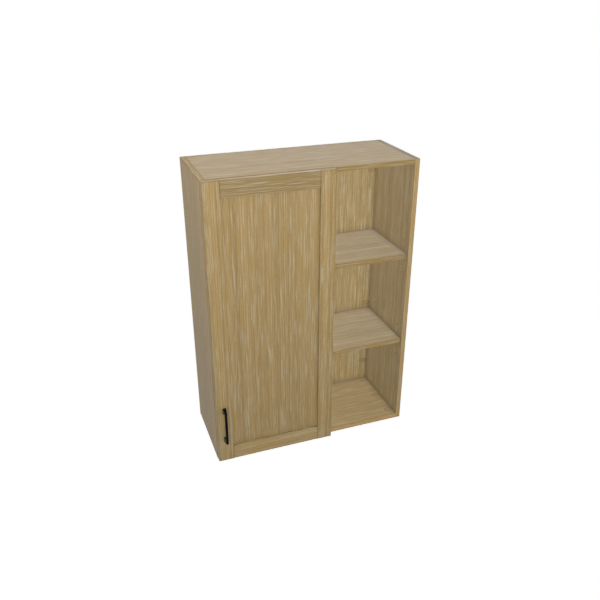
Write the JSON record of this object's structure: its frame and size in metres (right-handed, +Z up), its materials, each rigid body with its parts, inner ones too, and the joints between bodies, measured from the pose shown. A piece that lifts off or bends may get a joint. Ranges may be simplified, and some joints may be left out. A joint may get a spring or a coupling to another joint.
{
  "type": "blind corner wall cabinet",
  "caption": "Tall frameless wall cabinet for a blind corner: framed flat-panel door with a bar pull beside an open blind part, adjustable shelves, limed oak finish.",
  "frame": {"origin": "middle of the face that lies on the wall", "axes": "+X to the right seen from the front, +Y back into the wall, +Z up"},
  "size_m": [0.762, 0.3503, 1.0668],
  "materials": {
    "oak": "limed straight-grain oak, matt lacquer",
    "beech": "plain fluted dowel rod",
    "black_metal": "satin black powder coat",
    "steel": "nickel-plated pressed steel",
    "connector_plastic": "wood-toned moulding",
    "clear_rubber": "clear soft dot"
  },
  "bodies": {
    "carcass": {"back_connector_screws": "steel", "back_connectors": "connector_plastic", "back_panel": "oak", "bottom_connector_screws": "steel", "bottom_connectors": "connector_plastic", "bottom_panel": "oak", "bottom_panel_edge_band": "oak", "hinge_arm_screws": "steel", "hinge_plate_screws": "steel", "hinge_post": "oak", "hinge_post_edge_band": "oak", "left_side": "oak", "left_side_edge_band": "oak", "lower_hinge_arm": "steel", "lower_hinge_plate": "steel", "lower_shelf_pins": "steel", "middle_hinge_arm": "steel", "middle_hinge_plate": "steel", "post_dowels": "beech", "right_side": "oak", "right_side_edge_band": "oak", "top_connector_screws": "steel", "top_connectors": "connector_plastic", "top_panel": "oak", "top_panel_edge_band": "oak", "upper_hinge_arm": "steel", "upper_hinge_plate": "steel", "upper_shelf_pins": "steel"},
    "door": {"door_left_stile": "oak", "door_right_stile": "oak", "door_top_rail": "oak", "door_bottom_rail": "oak", "door_panel": "oak", "door_bumpers": "clear_rubber", "pull_bar": "black_metal", "pull_posts": "black_metal", "pull_screws": "steel", "hinge_cup_screws": "steel", "lower_hinge_cup": "steel", "middle_hinge_cup": "steel", "upper_hinge_cup": "steel", "lower_hinge_pin": "steel", "middle_hinge_pin": "steel", "upper_hinge_pin": "steel"},
    "upper_shelf": {"upper_shelf": "oak", "upper_shelf_edge_band": "oak"},
    "lower_shelf": {"lower_shelf": "oak", "lower_shelf_edge_band": "oak"}
  },
  "joints": [
    {"name": "door_swing", "type": "hinge", "parent": "carcass", "child": "door", "pos_m": [0.061, -0.3173, 0], "axis": [0, 0, 1], "range_deg": [0, 100]},
    {"name": "upper_shelf_lift", "type": "slide", "parent": "carcass", "child": "upper_shelf", "axis": [0, 0, 1], "range_m": [0, 0.064]},
    {"name": "lower_shelf_lift", "type": "slide", "parent": "carcass", "child": "lower_shelf", "axis": [0, 0, 1], "range_m": [0, 0.064]}
  ]
}
